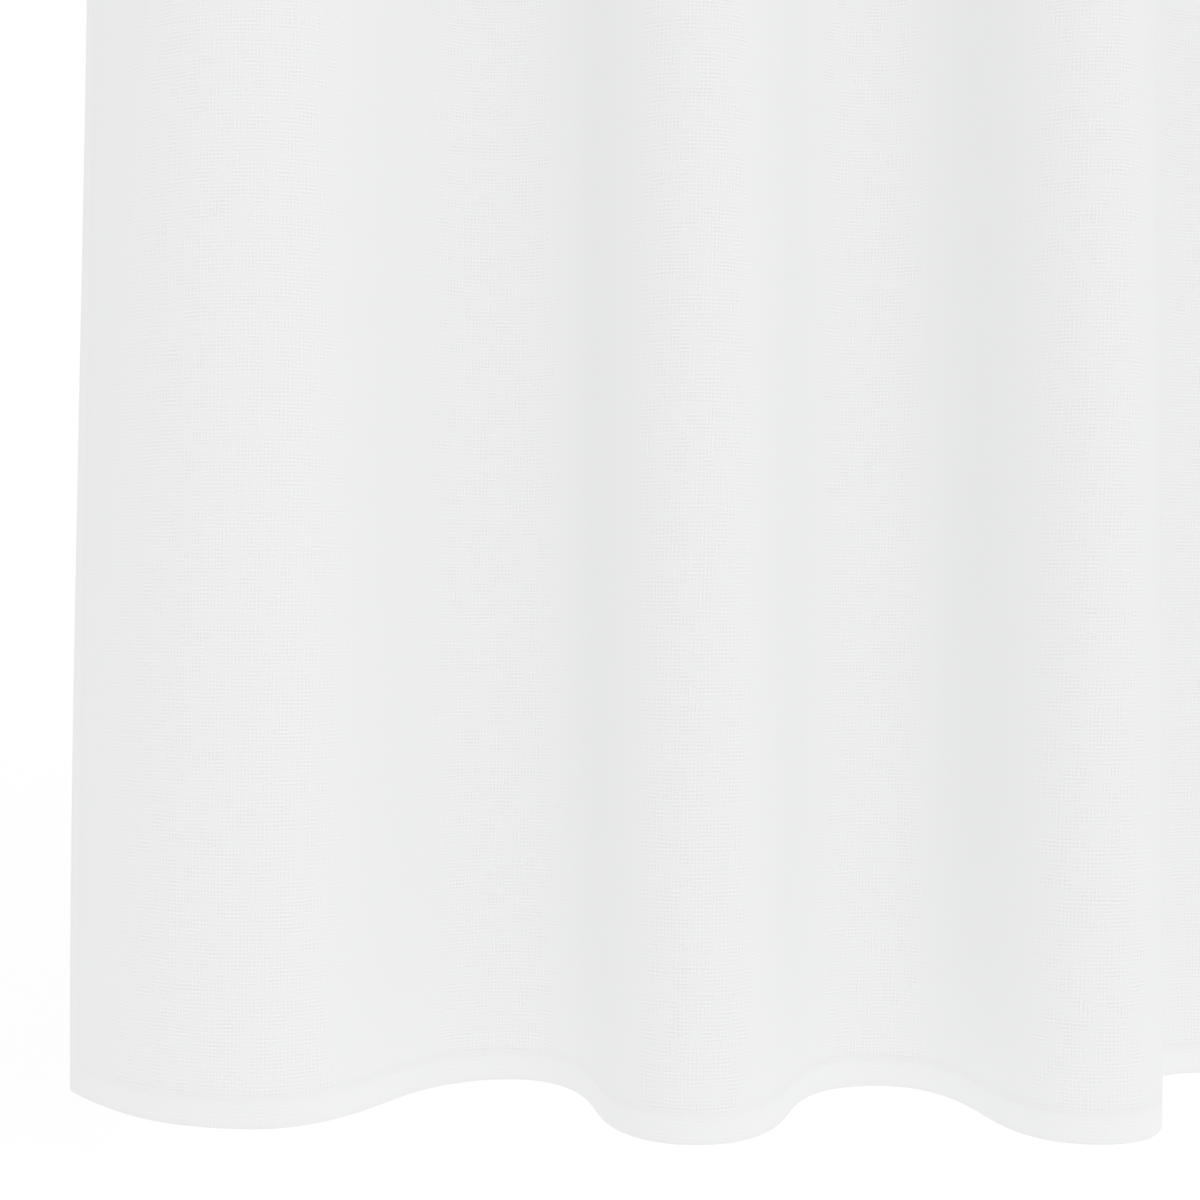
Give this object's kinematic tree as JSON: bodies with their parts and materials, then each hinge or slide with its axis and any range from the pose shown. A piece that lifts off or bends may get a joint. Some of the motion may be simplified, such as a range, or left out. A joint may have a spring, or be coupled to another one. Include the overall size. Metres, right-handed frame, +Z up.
{
  "type": "pair of curtains",
  "caption": "Pair of plain off-white woven curtain panels hanging in soft uneven folds, with narrow stitched hems.",
  "frame": {"origin": "middle of the pair's top edge, on the line that the curtains hang from", "axes": "+Z up, -Y towards the room, +Y towards the wall or window, +X to the right as seen from the room"},
  "size_m": [2.0954, 0.1289, 2.25],
  "materials": {
    "cloth": "matt off-white plain weave of irregular threads, slightly sheer"
  },
  "bodies": {
    "root": {"curtain_left": "cloth", "curtain_right": "cloth"}
  },
  "joints": []
}
